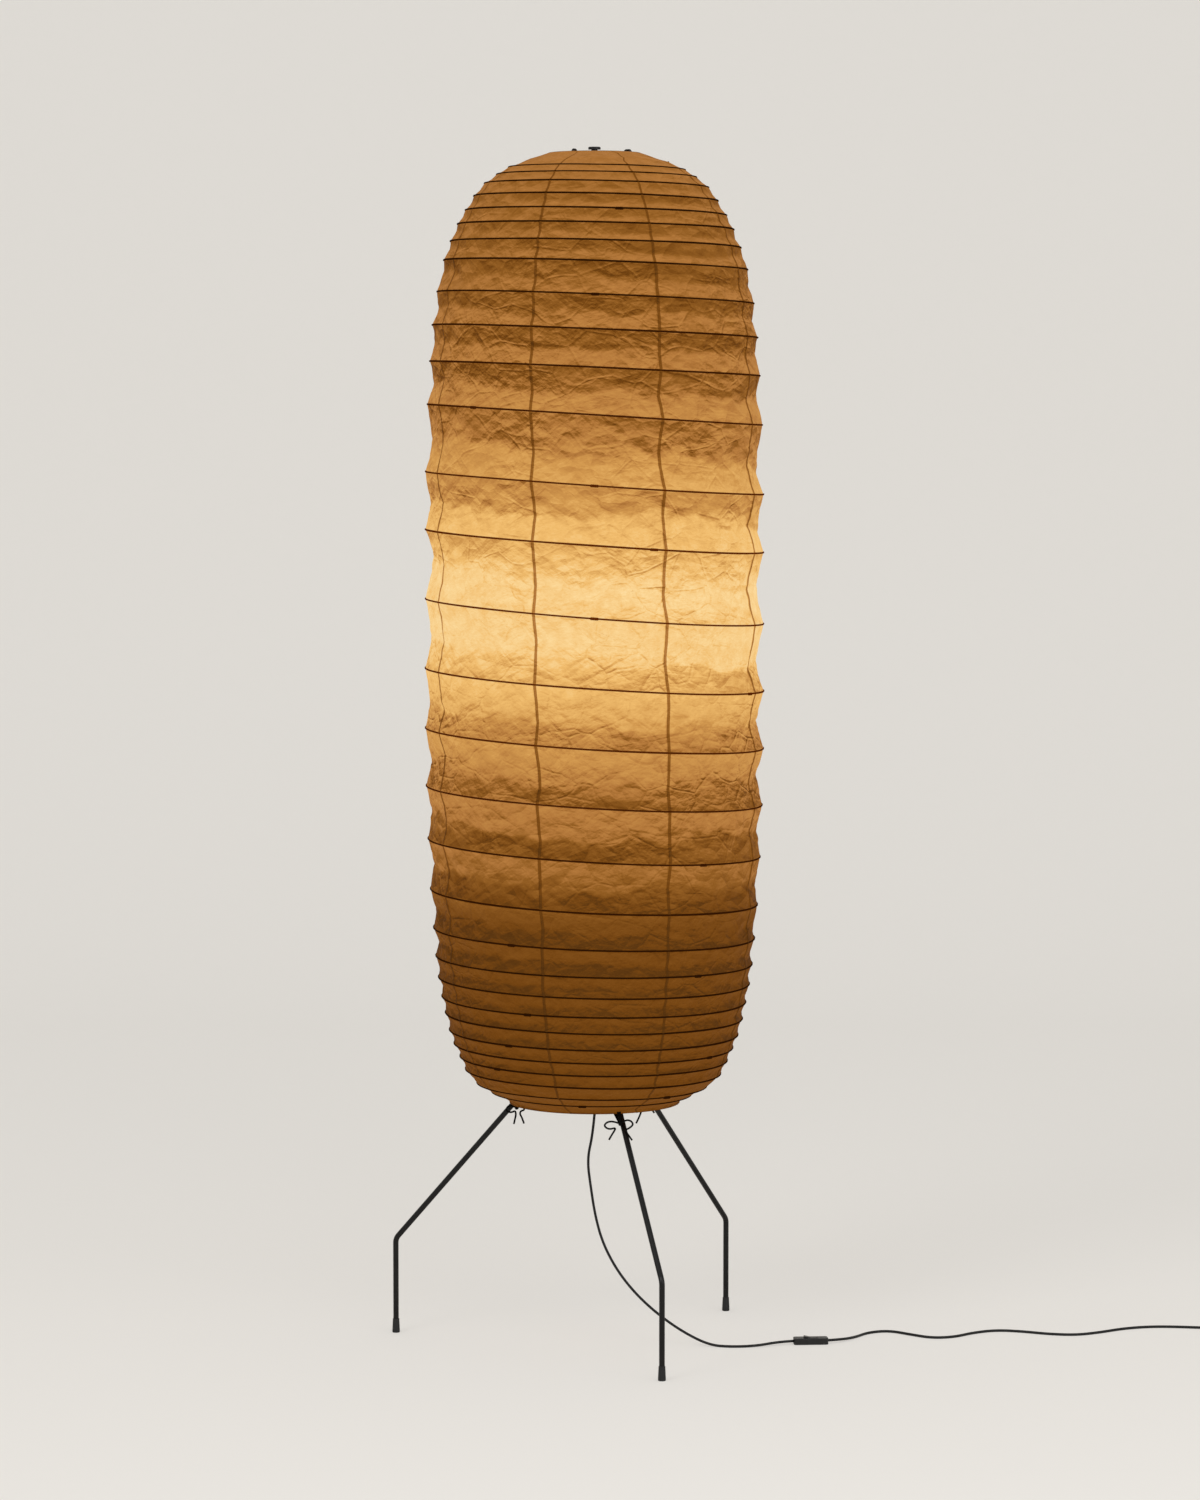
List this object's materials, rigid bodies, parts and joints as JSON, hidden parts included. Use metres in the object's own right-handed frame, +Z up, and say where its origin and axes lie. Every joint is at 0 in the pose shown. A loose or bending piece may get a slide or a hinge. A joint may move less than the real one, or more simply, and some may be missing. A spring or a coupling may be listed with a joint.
{
  "type": "floor lamp",
  "caption": "Tall paper lantern floor lamp: spiral-ribbed paper shade stretched over a wire stand with bent legs, cord with in-line switch and plug.",
  "frame": {"origin": "on the floor, under the lamp's axis, at the centre of the circle that the feet stand on", "axes": "+Z up along the post; +X to the right seen from the front; -Y towards the front"},
  "size_m": [1.4328, 0.5978, 1.932],
  "materials": {
    "black_enamel": "gloss enamel on steel wire",
    "black_rubber": "moulded rubber",
    "black_bakelite": "moulded phenolic",
    "zinc_steel": "zinc-plated steel",
    "brass": "rolled brass",
    "bulb_metal": "rolled aluminium screw cap",
    "nickel": "nickel-plated pins",
    "porcelain": "glazed porcelain",
    "black_glass": "black vitrite",
    "frosted_glass": "frosted glass",
    "clear_glass": "clear glass",
    "tungsten": "tungsten wire",
    "black_nylon": "moulded nylon",
    "black_pvc": "PVC cord sheath",
    "switch_plastic": "moulded ABS, low gloss",
    "black_string": "twisted cotton string",
    "washi_paper": "handmade mulberry paper",
    "bamboo": "split bamboo, stained by glue and paper"
  },
  "bodies": {
    "stand": {"base_ring": "black_enamel", "leg_left": "black_enamel", "leg_front": "black_enamel", "leg_right": "black_enamel", "foot_tip_left": "black_rubber", "foot_tip_front": "black_rubber", "foot_tip_right": "black_rubber", "spoke_left": "black_enamel", "spoke_front": "black_enamel", "spoke_right": "black_enamel", "base_hub": "black_enamel", "post_tube": "black_enamel", "post_nuts": "zinc_steel", "cord_gland": "black_nylon", "cord_in_post": "black_pvc", "lampholder_cap": "black_bakelite", "lampholder_sleeve": "black_bakelite", "lampholder_insert": "porcelain", "thread_shell": "brass", "centre_contact": "brass", "terminal_screws": "zinc_steel", "harp_saddle": "black_enamel", "harp_wire": "black_enamel", "harp_boss": "black_enamel", "upper_rod": "black_enamel", "crown_hub": "black_enamel", "crown_arms": "black_enamel", "finial_nut": "black_enamel", "string_tie_left": "black_string", "string_tie_front": "black_string", "string_tie_right": "black_string", "cord_to_switch": "black_pvc", "cord_to_plug": "black_pvc", "cord_coil": "black_pvc", "coil_tie": "black_rubber", "switch_base": "switch_plastic", "switch_cover": "switch_plastic", "switch_screws": "zinc_steel", "switch_contacts": "brass", "plug_body": "switch_plastic", "plug_pins": "nickel"},
    "bulb": {"bulb_contact": "bulb_metal", "bulb_insulator": "black_glass", "bulb_cap": "bulb_metal", "bulb_glass": "frosted_glass", "bulb_stem": "clear_glass", "bulb_filament": "tungsten"},
    "shade": {"paper_gore_1": "washi_paper", "paper_gore_2": "washi_paper", "paper_gore_3": "washi_paper", "paper_gore_4": "washi_paper", "paper_gore_5": "washi_paper", "paper_gore_6": "washi_paper", "paper_gore_7": "washi_paper", "paper_gore_8": "washi_paper", "spiral_rib": "bamboo", "rib_splices": "bamboo", "shade_top_ring": "black_enamel"},
    "shade_foot": {"shade_bottom_ring": "black_enamel"},
    "rocker": {"switch_rocker": "switch_plastic"}
  },
  "joints": [
    {"name": "bulb_withdraw", "type": "slide", "parent": "stand", "child": "bulb", "axis": [0, 0, 1], "range_m": [0, 0.03]},
    {"name": "shade_lift", "type": "slide", "parent": "stand", "child": "shade", "axis": [0, 0, 1], "range_m": [0, 1.55]},
    {"name": "shade_gather", "type": "slide", "parent": "shade", "child": "shade_foot", "axis": [0, 0, 1], "range_m": [0, 1.1], "deforming": ["paper_gore_1", "paper_gore_2", "paper_gore_3", "paper_gore_4", "paper_gore_5", "paper_gore_6", "paper_gore_7", "paper_gore_8", "spiral_rib", "rib_splices"]},
    {"name": "rocker_tilt", "type": "hinge", "parent": "stand", "child": "rocker", "pos_m": [0.351, -0.029, 0.0086], "axis": [-0.0698, 0.9976, 0], "range_deg": [-12, 0]}
  ]
}
